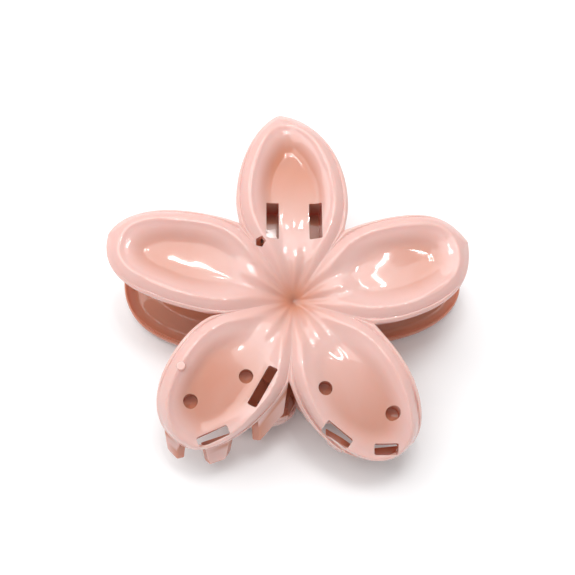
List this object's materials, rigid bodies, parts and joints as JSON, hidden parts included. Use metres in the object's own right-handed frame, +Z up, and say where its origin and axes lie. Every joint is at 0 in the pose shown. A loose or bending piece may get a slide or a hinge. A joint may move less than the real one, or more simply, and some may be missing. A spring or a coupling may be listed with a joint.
{
  "type": "flower hair clip",
  "caption": "Claw hair clip made of two five-petal flower jaws joined by a sprung hinge, with teeth under the lower petals and slots over the hinge ears.",
  "frame": {"origin": "bottom centre of the closed clip, lying on its back flower", "axes": "+Z up, X along the hinge pin, +Y towards the two handle petals, -Y towards the teeth"},
  "size_m": [0.0822, 0.0788, 0.032],
  "materials": {
    "petal_plastic": "glossy milky pink, slightly translucent",
    "pin_steel": "bright drawn steel",
    "spring_steel": "drawn spring wire"
  },
  "bodies": {
    "back": {"back_jaw": "petal_plastic", "hinge_pin": "pin_steel", "torsion_spring": "spring_steel"},
    "front": {"front_jaw": "petal_plastic"}
  },
  "joints": [
    {"name": "hinge", "type": "hinge", "parent": "back", "child": "front", "pos_m": [0, 0.01341, 0.0149], "axis": [-1, 0, 0], "range_deg": [0, 42], "stiffness_Nm_per_rad": 0.1, "springref_deg": -34.38, "deforming": ["torsion_spring"]}
  ]
}
